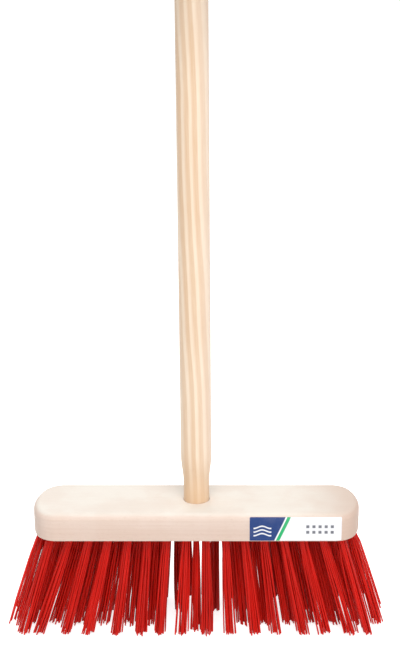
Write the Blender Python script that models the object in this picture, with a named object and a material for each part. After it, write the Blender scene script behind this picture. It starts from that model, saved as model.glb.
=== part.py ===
"""Street broom: a bored and drilled beech head with four rows of red tufts, on a turned pine handle.

X runs along the head, -Y is its front and +Z is up. The broom stands on the tips of its middle tufts
at Z = 0, and the handle's axis is the Z axis. All lengths are in metres and all angles in radians.
"""
import math

import bmesh
import bpy
from mathutils import Matrix, Vector

# Fits and cutting
SEAT_GAP = 0.0003
CUT_OVERRUN = 0.002

# Head block
HEAD_LENGTH = 0.300
HEAD_WIDTH = 0.072
HEAD_HEIGHT = 0.026
HEAD_END_BOW = 0.012
HEAD_CORNER_RADIUS = 0.0215
HEAD_TOP_FILLET = 0.0065
HEAD_LOWER_ARRIS = 0.0012
HEAD_CORNER_LIMIT_SHARE = 0.9
END_ARC_STEPS = 5
CORNER_ARC_STEPS = 9
FILLET_STEPS = 5

# Tufts: where they stand in the block
TUFT_ROWS = 4
OUTER_ROW_TUFTS = 16
SECOND_ROW_OPEN_STEPS = 1
TUFT_END_MARGIN = 0.0092
ROW_PITCH = 0.0153
TUFT_DIAMETER = 0.0074
TUFT_SIDES = 8
WOOD_OVER_TUFTS = 0.0155
MIDDLE_TUFT_DIAMETER = 0.0055
MIDDLE_TUFT_SETBACK = 0.0045

# Tufts: how they hang and fan out
TUFT_FREE_LENGTH = 0.095
TUFT_STUB = 0.002
TUFT_TIP_RADIUS = 0.0056
MIDDLE_TUFT_TIP_RADIUS = 0.0038
END_FAN_ANGLE = math.radians(18.0)
OUTER_SPLAY_ANGLE = math.radians(5.5)
STANDING_CUT = 0.0005
STRAND_RADIUS = 0.00095
STRAND_EDGE_MARGIN = 0.0003
STRAND_SIDES = 3
STRAND_TIP_SHARES = (1.0, 0.84, 0.95, 0.8, 0.9, 0.78, 0.93)
MIDDLE_STRAND_TIP_SHARES = (1.0, 0.85, 0.95, 0.8)

# Slices of the block's underside that join neighbouring tufts of the third row
SLICED_ROW_NAME = "third"
SLICE_TUFT_COUNT = 2
SLICE_WIDTH = 0.004
SLICE_DEPTH = 0.003

# Handle
HANDLE_LENGTH = 1.400
HANDLE_DIAMETER = 0.028
HANDLE_DOME_HEIGHT = 0.009
HANDLE_SHOULDER_LENGTH = 0.027
TENON_DIAMETER = 0.0235
TENON_STAND_UP = 0.017
TENON_CHAMFER = 0.0015
WOOD_UNDER_BORE = 0.006
HANDLE_SIDES = 32
DOME_STEPS = 5
SHOULDER_STEPS = 6

# Screw that holds the handle, driven from the back of the block
SCREW_HEAD_DIAMETER = 0.007
SCREW_SHANK_DIAMETER = 0.0035
SCREW_HEAD_DEPTH = 0.0022
SCREW_BITE = 0.012
SCREW_POINT = 0.004
SCREW_SIDES = 16

# Paper label on the right of the front face
LABEL_LENGTH = 0.082
LABEL_END_MARGIN = 0.020
LABEL_THICKNESS = 0.0003
LABEL_MARGIN = 0.0004
LABEL_CORNER = 0.0012
LABEL_CORNER_STEPS = 3

# Sizes that follow from the ones above
HALF_LENGTH = HEAD_LENGTH / 2
HALF_WIDTH = HEAD_WIDTH / 2
UNDERSIDE_Z = TUFT_FREE_LENGTH - STANDING_CUT
HEAD_TOP_Z = UNDERSIDE_Z + HEAD_HEIGHT
BORE_FLOOR_Z = UNDERSIDE_Z + WOOD_UNDER_BORE
TENON_RADIUS = TENON_DIAMETER / 2
BORE_RADIUS = TENON_RADIUS + SEAT_GAP
TUFT_RADIUS = TUFT_DIAMETER / 2
TUFT_HOLE_RADIUS = TUFT_RADIUS + SEAT_GAP
MIDDLE_TUFT_RADIUS = MIDDLE_TUFT_DIAMETER / 2
TUFT_HOLE_DEPTH = HEAD_HEIGHT - WOOD_OVER_TUFTS
OUTER_TUFT_X = HALF_LENGTH - TUFT_END_MARGIN
OUTER_ROW_Y = ROW_PITCH * (TUFT_ROWS - 1) / 2
MIDDLE_TUFT_Y = MIDDLE_TUFT_SETBACK - OUTER_ROW_Y
TUFT_PITCH = OUTER_TUFT_X / (OUTER_ROW_TUFTS / 2)
SCREW_Z = UNDERSIDE_Z + (TUFT_HOLE_DEPTH + HEAD_HEIGHT - HEAD_TOP_FILLET) / 2
ROW_NAMES = ("front", "second", "third", "back")
SLICED_ROW = ROW_NAMES.index(SLICED_ROW_NAME)

# Colours (linear) and finishes
BEECH = ((0.84, 0.66, 0.49), 0.55, 0.0)
PINE = ((0.80, 0.58, 0.38), 0.5, 0.0)
RED_PLASTIC = ((0.42, 0.022, 0.012), 0.32, 0.0)
STEEL = ((0.62, 0.62, 0.60), 0.35, 1.0)
PAPER = ((0.86, 0.87, 0.88), 0.5, 0.0)


def clear_scene():
    """Removes whatever objects the file holds."""
    for obj in list(bpy.data.objects):
        bpy.data.objects.remove(obj, do_unlink=True)


def make_material(name, finish):
    """Principled material from a colour, a roughness and a metallic value."""
    colour, roughness, metallic = finish
    material = bpy.data.materials.new(name)
    material.use_nodes = True
    shader = material.node_tree.nodes["Principled BSDF"]
    shader.inputs["Base Color"].default_value = (*colour, 1.0)
    shader.inputs["Roughness"].default_value = roughness
    shader.inputs["Metallic"].default_value = metallic
    material.diffuse_color = (*colour, 1.0)
    return material


def add_object(name, bm, material=None):
    """Turns a bmesh into an object, faces outward."""
    bmesh.ops.recalc_face_normals(bm, faces=bm.faces)
    mesh = bpy.data.meshes.new(name)
    bm.to_mesh(mesh)
    bm.free()
    obj = bpy.data.objects.new(name, mesh)
    bpy.context.scene.collection.objects.link(obj)
    if material:
        mesh.materials.append(material)
    return obj


def add_cutter(name, bm):
    """A guide object that cuts or joins others and is no part of the broom."""
    cutter = add_object(name, bm)
    cutter.hide_render = True
    cutter.display_type = 'WIRE'
    return cutter


def add_boolean(obj, other, operation):
    """Cuts the other object out of this one, or joins it on."""
    modifier = obj.modifiers.new(other.name, 'BOOLEAN')
    modifier.operation = operation
    modifier.solver = 'EXACT'
    modifier.object = other


def smooth_round(obj, sharp_angle=math.radians(35)):
    """Shades the round faces smooth and keeps the real edges sharp."""
    obj.data.shade_smooth()
    obj.data.set_sharp_from_angle(angle=sharp_angle)


def loft(bm, rings):
    """Skins closed rings of equal length and caps both ends."""
    loops = [[bm.verts.new(point) for point in ring] for ring in rings]
    for lower, upper in zip(loops, loops[1:]):
        for here in range(len(lower)):
            after = (here + 1) % len(lower)
            bm.faces.new((lower[here], lower[after], upper[after], upper[here]))
    bm.faces.new(loops[0][::-1])
    bm.faces.new(loops[-1])


def turn_profile(profile, sides, axis='Z'):
    """Turns a profile of (radius, height) points that starts and ends on the axis."""
    bm = bmesh.new()
    verts = [bm.verts.new((radius, 0, height)) for radius, height in profile]
    edges = [bm.edges.new(pair) for pair in zip(verts, verts[1:])]
    bmesh.ops.spin(bm, geom=verts + edges, cent=(0, 0, 0), axis=(0, 0, 1),
                   angle=math.tau, steps=sides, use_merge=True)
    bmesh.ops.remove_doubles(bm, verts=bm.verts, dist=SEAT_GAP / 100)
    if axis == 'Y':
        bmesh.ops.rotate(bm, verts=bm.verts, cent=(0, 0, 0), matrix=Matrix.Rotation(-math.pi / 2, 3, 'X'))
    return bm


def arc(centre, radius, start, end, steps):
    """Points of an arc in plan, both ends included."""
    angles = [start + (end - start) * step / steps for step in range(steps + 1)]
    return [(centre[0] + radius * math.cos(a), centre[1] + radius * math.sin(a)) for a in angles]


def plan_ring(inset, height):
    """The block's plan, taken in by an inset: bowed ends that run into the long sides by round corners."""
    end_radius = (HALF_WIDTH ** 2 + HEAD_END_BOW ** 2) / (2 * HEAD_END_BOW)
    corner_radius = min(HEAD_CORNER_RADIUS, HEAD_CORNER_LIMIT_SHARE * HALF_WIDTH)
    end_centre_x = HALF_LENGTH - end_radius
    corner_y = HALF_WIDTH - corner_radius
    reach = math.sqrt((end_radius - corner_radius) ** 2 - corner_y ** 2)
    meeting = math.atan2(corner_y, reach)
    end = arc((end_centre_x, 0), end_radius - inset, 0, meeting, END_ARC_STEPS)
    corner = arc((end_centre_x + reach, corner_y), corner_radius - inset, meeting, math.pi / 2, CORNER_ARC_STEPS)
    quarter = end + corner[1:]
    right_half = [(x, -y) for x, y in reversed(quarter[1:])] + quarter
    left_half = [(-x, -y) for x, y in right_half]
    return [(x, y, height) for x, y in right_half + left_half]


def tuft_places():
    """Row, x and y of each full tuft: the outer rows stand half a step off the two inner ones.

    The inner rows leave out the place that the handle's bore takes, and the second row leaves out
    its neighbours too, where the small middle tuft stands instead.
    """
    places = []
    half_count = OUTER_ROW_TUFTS // 2
    clear_of_bore = BORE_RADIUS + TUFT_HOLE_RADIUS
    for row in range(TUFT_ROWS):
        y = row * ROW_PITCH - OUTER_ROW_Y
        if row in (0, TUFT_ROWS - 1):
            steps = [side + 0.5 for side in range(-half_count, half_count)]
        else:
            steps = list(range(-half_count, half_count + 1))
        if row == ROW_NAMES.index("second"):
            steps = [step for step in steps if abs(step) > SECOND_ROW_OPEN_STEPS]
        for step in steps:
            x = step * TUFT_PITCH
            if math.hypot(x, y) > clear_of_bore:
                places.append((row, x, y))
    return places


class Tuft:
    """One tuft's place and lean, worked out on the right of the back and mirrored to its own quarter."""

    radius = TUFT_RADIUS
    tip_radius = TUFT_TIP_RADIUS
    tip_shares = STRAND_TIP_SHARES
    has_core = True

    def __init__(self, x, y):
        self.sides = Matrix.Diagonal((math.copysign(1, x), math.copysign(1, y), 1, 1))
        self.root = Vector((abs(x), abs(y), UNDERSIDE_Z))
        self.fan = END_FAN_ANGLE * self.root.x / OUTER_TUFT_X
        splay = OUTER_SPLAY_ANGLE * self.root.y / OUTER_ROW_Y
        self.direction = Vector((math.tan(self.fan), math.tan(splay), -1)).normalized()
        turn = Vector((0, 0, -1)).rotation_difference(self.direction).to_matrix().to_4x4()
        self.frame = Matrix.Translation(self.root) @ turn

    def tip_height(self):
        """Height of the trimmed tips: an arc along the head, cut flat where the broom stands."""
        return max(0, UNDERSIDE_Z - TUFT_FREE_LENGTH * math.cos(self.fan))

    def axis_point(self, height):
        """The point of the tuft's middle line at a height."""
        return self.root + self.direction * ((height - self.root.z) / self.direction.z)

    def prism(self, bm, clearance, top, bottom):
        """A prism along the tuft's own line, between two heights measured from the underside."""
        radius = self.radius + clearance
        middle = Matrix.Translation((0, 0, (top + bottom) / 2))
        return bmesh.ops.create_cone(bm, cap_ends=True, cap_tris=False, segments=TUFT_SIDES, radius1=radius,
                                     radius2=radius, depth=top - bottom,
                                     matrix=self.sides @ self.frame @ middle)

    def strand_places(self):
        """Each strand's offset in the bundle and in the fanned tip: a ring, round one in the middle."""
        places = [(Vector((0, 0, 0)), Vector((0, 0, 0)))] if self.has_core else []
        ring_radius = self.radius - STRAND_RADIUS - STRAND_EDGE_MARGIN
        for number, share in enumerate(self.tip_shares):
            angle = math.pi / 2 + math.tau * number / len(self.tip_shares)
            outward = Vector((math.cos(angle), math.sin(angle), 0))
            places.append((outward * ring_radius, outward * self.tip_radius * share))
        return places

    def strand_rings(self, in_bundle, at_tip):
        """The two ends of a straight strand: in the bundle's face, and trimmed level at its tip."""
        corners = [math.tau * side / STRAND_SIDES for side in range(STRAND_SIDES)]
        spokes = [Vector((math.cos(a), math.sin(a), 0)) * STRAND_RADIUS for a in corners]
        stub_face = in_bundle - Vector((0, 0, TUFT_STUB))
        tip = self.axis_point(self.tip_height()) + at_tip
        rings = [[self.frame @ (stub_face + spoke) for spoke in spokes], [tip + spoke for spoke in spokes]]
        return [[self.sides @ point for point in ring] for ring in rings]

    def build(self, bm):
        """The bundle that fills the hole, ending in a short stub that carries the strands."""
        made = self.prism(bm, 0, TUFT_HOLE_DEPTH - SEAT_GAP, -TUFT_STUB)
        stub_centre = self.sides @ self.frame @ Vector((0, 0, -TUFT_STUB))
        caps = {face for vert in made["verts"] for face in vert.link_faces if len(face.verts) == TUFT_SIDES}
        stub_cap = min(caps, key=lambda face: (face.calc_center_median() - stub_centre).length)
        border = list(stub_cap.edges)
        bmesh.ops.delete(bm, geom=[stub_cap], context='FACES_ONLY')
        for in_bundle, at_tip in self.strand_places():
            border += self.add_strand(bm, *self.strand_rings(in_bundle, at_tip))
        bmesh.ops.triangle_fill(bm, use_beauty=True, use_dissolve=False, edges=border)

    def add_strand(self, bm, root, tip):
        """Walls and tip of one strand; returns the edges of its open root."""
        upper = [bm.verts.new(point) for point in root]
        lower = [bm.verts.new(point) for point in tip]
        for here in range(STRAND_SIDES):
            bm.faces.new((upper[here - 1], upper[here], lower[here], lower[here - 1]))
        bm.faces.new(lower)
        return [bm.edges.get((upper[here - 1], upper[here])) for here in range(STRAND_SIDES)]


class MiddleTuft(Tuft):
    """The small tuft between the front row's middle two and the handle's bore."""

    radius = MIDDLE_TUFT_RADIUS
    tip_radius = MIDDLE_TUFT_TIP_RADIUS
    tip_shares = MIDDLE_STRAND_TIP_SHARES
    has_core = False

    def __init__(self):
        super().__init__(0, MIDDLE_TUFT_Y)


def sliced_groups(places):
    """Neighbouring tufts of the third row that share a slice of the underside, from each end inward."""
    groups = []
    for side in (-1, 1):
        row = [(x, y) for number, x, y in places if number == SLICED_ROW and math.copysign(1, x) == side]
        row.sort(key=lambda place: -abs(place[0]))
        for first in range(0, len(row), SLICE_TUFT_COUNT):
            groups.append(sorted(row[first:first + SLICE_TUFT_COUNT]))
    return sorted(groups)


def slice_bar(bm, group, clearance, overrun):
    """A flat bar from the first to the last tuft of a group, let into the underside."""
    start, end = group[0][0] - clearance, group[-1][0] + clearance
    top = UNDERSIDE_Z + SLICE_DEPTH + clearance
    bottom = UNDERSIDE_Z - overrun
    size = (end - start, SLICE_WIDTH + 2 * clearance, top - bottom, 1)
    place = Matrix.Translation(((start + end) / 2, group[0][1], (top + bottom) / 2))
    bmesh.ops.create_cube(bm, size=1, matrix=place @ Matrix.Diagonal(size))


def make_single_tufts(places, material):
    """One object for each tuft of the front, second and back rows."""
    counts = dict.fromkeys(range(TUFT_ROWS), 0)
    for row, x, y in places:
        if row == SLICED_ROW:
            continue
        counts[row] += 1
        bm = bmesh.new()
        Tuft(x, y).build(bm)
        add_object(f"tuft_{ROW_NAMES[row]}_{counts[row]:02d}", bm, material)


def make_middle_tuft(material):
    """The small tuft in the middle, behind the front row."""
    bm = bmesh.new()
    MiddleTuft().build(bm)
    add_object("tuft_middle", bm, material)


def make_sliced_tufts(places, material):
    """The third row: tufts that stand in pairs on a slice of their backing."""
    for number, group in enumerate(sliced_groups(places), 1):
        bm = bmesh.new()
        for x, y in group:
            Tuft(x, y).build(bm)
        tufts = add_object(f"tuft_{ROW_NAMES[SLICED_ROW]}_{number:02d}", bm, material)
        if len(group) > 1:
            bar = bmesh.new()
            slice_bar(bar, group, 0, 0)
            add_boolean(tufts, add_cutter(f"slice_{number:02d}", bar), 'UNION')


def tuft_holes_cutter(places):
    """All the drilled holes, each along its own tuft."""
    bm = bmesh.new()
    for tuft in [Tuft(x, y) for _row, x, y in places] + [MiddleTuft()]:
        tuft.prism(bm, SEAT_GAP, TUFT_HOLE_DEPTH, -CUT_OVERRUN)
    return add_cutter("tuft_holes", bm)


def slice_grooves_cutter(places):
    """The shallow grooves that the third row's slices lie in."""
    bm = bmesh.new()
    for group in sliced_groups(places):
        if len(group) > 1:
            slice_bar(bm, group, SEAT_GAP, CUT_OVERRUN)
    return add_cutter("slice_grooves", bm)


def bore_cutter():
    """The blind bore for the handle's tenon."""
    top = HEAD_TOP_Z + CUT_OVERRUN
    profile = [(0, BORE_FLOOR_Z), (BORE_RADIUS, BORE_FLOOR_Z), (BORE_RADIUS, top), (0, top)]
    return add_cutter("handle_bore", turn_profile(profile, HANDLE_SIDES))


def screw_profile(clearance, overrun):
    """Half outline of the countersunk screw, from its head at the back face to its point, along Y."""
    head = SCREW_HEAD_DIAMETER / 2 + clearance
    shank = SCREW_SHANK_DIAMETER / 2 + clearance
    length = HALF_WIDTH - TENON_RADIUS + SCREW_BITE
    tip = length + clearance
    start = -overrun
    profile = [(0, start), (head, start)]
    if overrun:
        profile.append((head, 0))
    profile += [(shank, SCREW_HEAD_DEPTH), (shank, tip - SCREW_POINT), (0, tip)]
    return profile


def screw_body(clearance, overrun):
    """The screw's solid, or the hole for it, pointing from the back face towards the tenon."""
    bm = turn_profile(screw_profile(clearance, overrun), SCREW_SIDES, axis='Y')
    bmesh.ops.rotate(bm, verts=bm.verts, cent=(0, 0, 0), matrix=Matrix.Rotation(math.pi, 3, 'Z'))
    back = HALF_WIDTH - (0 if overrun else SEAT_GAP)
    bmesh.ops.translate(bm, verts=bm.verts, vec=(0, back, SCREW_Z))
    return bm


def make_head(material, places):
    """The beech block: lofted from its plan, rounded above, then bored, drilled and screwed."""
    rings = [plan_ring(HEAD_LOWER_ARRIS, UNDERSIDE_Z), plan_ring(0, UNDERSIDE_Z + HEAD_LOWER_ARRIS)]
    for step in range(FILLET_STEPS + 1):
        angle = math.pi / 2 * step / FILLET_STEPS
        inset = HEAD_TOP_FILLET * (1 - math.cos(angle))
        drop = HEAD_TOP_FILLET * (1 - math.sin(angle))
        rings.append(plan_ring(inset, HEAD_TOP_Z - drop))
    bm = bmesh.new()
    loft(bm, rings)
    head = add_object("head_block", bm, material)
    smooth_round(head)
    screw_hole = add_cutter("screw_hole", screw_body(SEAT_GAP, CUT_OVERRUN))
    add_boolean(head, bore_cutter(), 'DIFFERENCE')
    add_boolean(head, tuft_holes_cutter(places), 'DIFFERENCE')
    add_boolean(head, slice_grooves_cutter(places), 'DIFFERENCE')
    add_boolean(head, screw_hole, 'DIFFERENCE')
    return screw_hole


def handle_profile():
    """Half outline of the pole, from the tenon's end in the bore up to the domed top."""
    radius = HANDLE_DIAMETER / 2
    foot = BORE_FLOOR_Z + SEAT_GAP
    shoulder_foot = HEAD_TOP_Z + TENON_STAND_UP
    top = foot + HANDLE_LENGTH
    profile = [(0, foot), (TENON_RADIUS - TENON_CHAMFER, foot), (TENON_RADIUS, foot + TENON_CHAMFER)]
    for step in range(SHOULDER_STEPS + 1):
        along = step / SHOULDER_STEPS
        swell = (1 - math.cos(math.pi * along)) / 2
        profile.append((TENON_RADIUS + (radius - TENON_RADIUS) * swell,
                        shoulder_foot + HANDLE_SHOULDER_LENGTH * along))
    for step in range(DOME_STEPS + 1):
        angle = math.pi / 2 * step / DOME_STEPS
        profile.append((radius * math.cos(angle), top - HANDLE_DOME_HEIGHT * (1 - math.sin(angle))))
    profile[-1] = (0, top)
    return profile


def make_handle(material, screw_hole):
    """The turned pole, with the screw's pilot hole in its tenon."""
    handle = add_object("handle", turn_profile(handle_profile(), HANDLE_SIDES), material)
    smooth_round(handle)
    add_boolean(handle, screw_hole, 'DIFFERENCE')


def make_screw(material):
    """The countersunk screw from the back face into the tenon."""
    screw = add_object("handle_screw", screw_body(0, 0), material)
    smooth_round(screw)


def make_label(material):
    """The paper label, flat on the front face between the arris and the rounding."""
    low = UNDERSIDE_Z + HEAD_LOWER_ARRIS + LABEL_MARGIN
    high = HEAD_TOP_Z - HEAD_TOP_FILLET - LABEL_MARGIN
    right = HALF_LENGTH - LABEL_END_MARGIN
    left = right - LABEL_LENGTH
    outline = []
    quarter = math.pi / 2
    corners = ((right, low, -1), (right, high, 0), (left, high, 1), (left, low, 2))
    for x, z, turn in corners:
        centre = (x - math.copysign(LABEL_CORNER, x - (left + right) / 2),
                  z - math.copysign(LABEL_CORNER, z - (low + high) / 2))
        outline += arc(centre, LABEL_CORNER, quarter * turn, quarter * (turn + 1), LABEL_CORNER_STEPS)
    back_y = -HALF_WIDTH - SEAT_GAP
    bm = bmesh.new()
    loft(bm, [[(x, y, z) for x, z in outline] for y in (back_y - LABEL_THICKNESS, back_y)])
    add_object("label", bm, material)


def main():
    """Builds the whole broom."""
    clear_scene()
    places = tuft_places()
    red = make_material("bristle_red", RED_PLASTIC)
    screw_hole = make_head(make_material("beech", BEECH), places)
    make_handle(make_material("pine", PINE), screw_hole)
    make_screw(make_material("screw_steel", STEEL))
    make_label(make_material("label_paper", PAPER))
    make_single_tufts(places, red)
    make_middle_tuft(red)
    make_sliced_tufts(places, red)


main()
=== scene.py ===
"""Looks of the street broom: beech head, pine pole, red bristles, paper label and screw round the frame.

X runs along the head, -Y is its front and +Z is up. All lengths are in metres and all angles in radians.
"""

import math
import random
from functools import reduce

import bmesh
import bpy
import numpy as np
from bpy.props import FloatProperty, FloatVectorProperty, IntProperty, PointerProperty
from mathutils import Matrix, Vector


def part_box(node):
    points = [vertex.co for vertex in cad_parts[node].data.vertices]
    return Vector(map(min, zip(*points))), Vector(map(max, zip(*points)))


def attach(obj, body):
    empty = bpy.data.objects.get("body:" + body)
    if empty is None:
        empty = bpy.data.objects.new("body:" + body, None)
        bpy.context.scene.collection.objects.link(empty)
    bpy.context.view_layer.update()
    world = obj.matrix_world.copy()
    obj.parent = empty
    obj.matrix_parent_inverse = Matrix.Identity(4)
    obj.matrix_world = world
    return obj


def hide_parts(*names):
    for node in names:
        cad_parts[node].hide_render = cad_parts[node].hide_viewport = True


bl_info = {
    "name": "Street Broom",
    "version": (1, 0, 0),
    "blender": (4, 5, 0),
    "location": "3D View > Sidebar > Broom",
    "description": "Dresses the packed street broom: wood, bristles, label, screw and a plain studio",
    "category": "Object",
}

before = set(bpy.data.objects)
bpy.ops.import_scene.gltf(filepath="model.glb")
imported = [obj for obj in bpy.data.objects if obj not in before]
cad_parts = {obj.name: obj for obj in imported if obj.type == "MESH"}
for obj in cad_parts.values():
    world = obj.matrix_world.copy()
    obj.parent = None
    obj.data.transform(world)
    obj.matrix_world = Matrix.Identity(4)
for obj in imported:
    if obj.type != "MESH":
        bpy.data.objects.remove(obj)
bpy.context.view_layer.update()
BODY = "root"

# Places that the frame gives
HEAD_LOW, HEAD_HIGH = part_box("head_block")
HANDLE_LOW, HANDLE_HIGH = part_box("handle")
SCREW_LOW, SCREW_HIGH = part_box("handle_screw")
LABEL_LOW, LABEL_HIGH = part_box("label")
HALF_LENGTH = HEAD_HIGH.x
HALF_WIDTH = HEAD_HIGH.y
UNDERSIDE_Z = HEAD_LOW.z
HEAD_TOP_Z = HEAD_HIGH.z
SCREW_Z = (SCREW_LOW.z + SCREW_HIGH.z) / 2

# Between pieces, and what counts as the same place or as facing along an axis
SEAT_GAP = 0.0003
CUT_OVERRUN = 0.002
NEAR = 0.000003
FACING = 0.9
SHARP_ANGLE = math.radians(32)

# Head: steps of its round stretches
END_STEPS = 12
CORNER_STEPS = 20
FILLET_STEPS = 8
ARRIS_STEPS = 2
BORE_SIDES = 96

# Tufts: where they stand, as in the solids
OUTER_ROW_TUFTS = 16
SECOND_ROW_OPEN_STEPS = 1
THIRD_ROW_TUFTS_PER_NODE = 2
TUFT_END_MARGIN = 0.0092
ROW_PITCH = 0.0153
MIDDLE_TUFT_SETBACK = 0.0045
TUFT_HOLE_DEPTH = 0.0105
TUFT_DIAMETER = 0.0074
MIDDLE_TUFT_DIAMETER = 0.0055
TUFT_HOLE_SIDES = 24
END_FAN_ANGLE = math.radians(18.0)
OUTER_SPLAY_ANGLE = math.radians(5.5)
OUTER_ROW_Y = ROW_PITCH * 1.5
OUTER_TUFT_X = HALF_LENGTH - TUFT_END_MARGIN
HALF_ROW = OUTER_ROW_TUFTS // 2
TUFT_PITCH = OUTER_TUFT_X / HALF_ROW
OUTER_STEPS = [step + 0.5 for step in range(-HALF_ROW, HALF_ROW)]
BORE_REACH_X = 1.5 * TUFT_PITCH
MIDDLE_TUFT_Y = MIDDLE_TUFT_SETBACK - OUTER_ROW_Y

# Strands of a tuft: (number, radius of their ring in the hole)
STRAND_SIDES = 8
STRAND_CUTS = 4
STRAND_SHARP_ANGLE = math.radians(50)
STRAND_RINGS = ((1, 0.0), (6, 0.00146), (13, 0.00292))
MIDDLE_STRAND_RINGS = ((1, 0.0), (5, 0.0009), (10, 0.0018))
STRAND_IN_HOLE = 0.005
ROOT_SHARE = 1 / (STRAND_CUTS + 1)
TIP_CROWN = 0.72
TIP_SPREAD = 0.0024
INNER_FORWARD = 0.0035
TIP_ARC = 0.0012
STRAY_DEPTH = 0.42
# How fast a tuft opens, sways and turns aslant on its way down: below 1, most of it happens near the head
OPENING_POWER = 0.6
INNER_OPENING_POWER = 0.2
SWAY_POWER = 1.2
ASLANT_POWER = 0.3
# Ranges that the strands draw from, and powers that let short tips and deep tones come up less often
OPENINGS = (0.92, 1.1)
THICKNESSES = (0.92, 1.05)
RIPPLE_TURNS = (0.5, 1.3)
CUT_SLOPES = (0.1, 0.6)
UNEVEN_POWER = 3
TONE_POWER = 2
# Share of the deep red in the tufts of the inner rows and of the outer ones, and what a strand adds: the
# inner rows are painted lighter and the outer rows darker, painted light and shade that evens out the shade
# between rows
INNER_PAINTED_LIGHT_TONES = (0.0, 0.12)
OUTER_PAINTED_SHADE_TONES = (0.25, 0.4)
STRAND_TONES = 0.45
# How far used tufts of the front row stand off at their tips, along the head from left to right
TIP_SWAYS = (0.0008, -0.0077, -0.0032, -0.0047, 0.0003, 0.0011, -0.0010, -0.0026,
             -0.0020, -0.0005, 0.0004, -0.0007, 0.0019, 0.0019, 0.0023, -0.0018)
MIDDLE_SWAY = -0.0010
# Tufts that leave their holes a little aslant: how far each stands off along the head
ASLANT = {"tuft_front_07": -0.0014, "tuft_third_05": -0.0020, "tuft_back_02": 0.0022,
          "tuft_back_07": -0.0018, "tuft_back_08": -0.0034, "tuft_back_09": -0.0014}

# Handle
TENON_RADIUS = 0.01175
TENON_CHAMFER = 0.0015
TENON_STAND_UP = 0.017
SHOULDER_LENGTH = 0.027
DOME_HEIGHT = 0.009
TOP_FLAT_SHARE = 0.3
HANDLE_SIDES = 64
SHOULDER_STEPS = 14
DOME_STEPS = 12

# Screw
SCREW_SHANK_RADIUS = 0.00175
SCREW_HEAD_DEPTH = 0.0022
SCREW_POINT = 0.004
SCREW_POINT_SHARE = 0.1
SCREW_SIDES = 40
RECESS_WIDTH = 0.0011
RECESS_SPAN = 0.0042
RECESS_DEPTH = 0.0015
RECESS_FOOT = (0.35, 1, 0.8)
RECESS_TURNS = (math.radians(20), math.radians(110))

# Label: it reaches a little farther than its solid, round the block's corner
LABEL_LEFT = LABEL_LOW.x + 0.0007
LABEL_RIGHT = LABEL_HIGH.x + 0.0014
LABEL_BOTTOM = LABEL_LOW.z - 0.0004
LABEL_LIFT = 0.00006
LABEL_CORNER_STEPS = 4
LABEL_COLUMNS = 36
LABEL_ROWS = 20
LABEL_STAND_OFF = 0.01

# Print of the label, from its lower left corner: limits and softness of its edges
PRINT_EDGE = 0.0002
BAND_SLANT = 0.45
BLUE_EDGE = (0.0218, 0.0225)
GREEN_BAND = (0.0236, 0.0268)
GREEN_EDGE = 0.0003
WAVES_UP = ((0.0052, 0.0066), (0.0088, 0.0102), (0.0124, 0.0138))
WAVES_ALONG = (0.0035, 0.0195)
WAVE_RATE, WAVE_HEIGHT, WAVE_SHARE = 420.0, 0.0011, 0.9
SQUARES_ALONG, SQUARES_UP = (0.0495, 0.0770), (0.0055, 0.0165)
SQUARE_PITCH = 0.0055
SQUARE_SHARE, SQUARE_EDGE = (0.25, 0.75), 0.03
RUBBED_PAPER, RUBBED_PAPER_SHARE = (0.55, 0.52, 0.48), 0.06

# Marks of wood: their scales, the share of a scale that is left along the grain, and limits of the masks
SLOW_WAVER = {"scale": 22.0, "along": 0.3, "detail": 1.0}
QUICK_WAVER = {"scale": 160.0, "along": 0.06, "detail": 2.0}
QUICK_SHARE = 0.16
FIBRES_ALONG, FIBRE_LIMITS = 0.025, (0.3, 0.72)
FLECKS = {"scale": 1250.0, "along": 0.22, "detail": 0.0}
FLECK_LIMITS = (0.69, 0.77)
LATE_EDGE = (-0.2, 0.16)
YEAR_END = 0.84
YEAR_STRENGTHS = (0.72, 1.0)

# Patches of handling, and the painted top light and sheen that is thinner on them
PATCH_LIMITS = (0.32, 0.68)
GRAIN_SCALE = 45.0
UPWARD_LIMITS = (0.5, 0.97)
TOP_LIGHT_THINNING = (1.0, 0.75)

# Beech: where its heart lies and how it is turned, and shares of what colours it
BEECH_HEART = (0.076, 0.016, 0.0)
BEECH_TURN = (0, math.radians(90), math.radians(1.2))
BEECH_MARKS = {"Rings": 0.2, "Fibres": 0.24, "Patches": 0.34}
FLECK_SHARE = 0.16
# Painted top light and sheen on the faces that look upwards: how much of it lies there
TOP_LIGHT_COVER = 0.6
END_GRAIN_LIMITS, END_GRAIN_SHARE = (0.35, 0.95), 0.75
WARM_END, WARM_SHARE = 0.6, 0.55
# Painted shade along the head's lower edge, where the bristles keep the floor's light off: where it starts
# and ends above the underside, and its share
LOWER_SHADE_FROM, LOWER_SHADE_TO, LOWER_SHADE_SHARE = 0.019, 0.006, 0.25

# Pine: the same
PINE_HEART = (0.0906, 0.012, 0.0)
PINE_TURN = (math.radians(0.8), math.radians(1.8), 0)
PINE_MARKS = {"Rings": 0.66, "Fibres": 0.2, "Patches": 0.16}
# Painted light on the pole's right side: how far out it grows and its share
LIT_SIDE_X, LIT_SIDE_SHARE = 0.014, 0.45
# Turned-down wood with painted shade, darkest where the pole meets the head: its share there, and how many
# shoulder lengths up it fades
TURNED_AND_SHADED_SHARE, TURNED_AND_SHADED_SHOULDERS = 0.7, 1.5
# Painted shade on the pole's upper part, where the light falls off: heights where it begins and is full, and
# its share
UPPER_SHADE_FROM, UPPER_SHADE_TO, UPPER_SHADE_SHARE = 0.48, 0.58, 0.36

# Bristles and steel
BRISTLE_PATCH_SHARE = 0.25
CUT_END_FROM, CUT_END_SHARE = 0.96, 0.7
TURNED_MARK_RATE = 30000.0
DULL_SHARE, DULL_TONE = 0.45, 0.6

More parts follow.
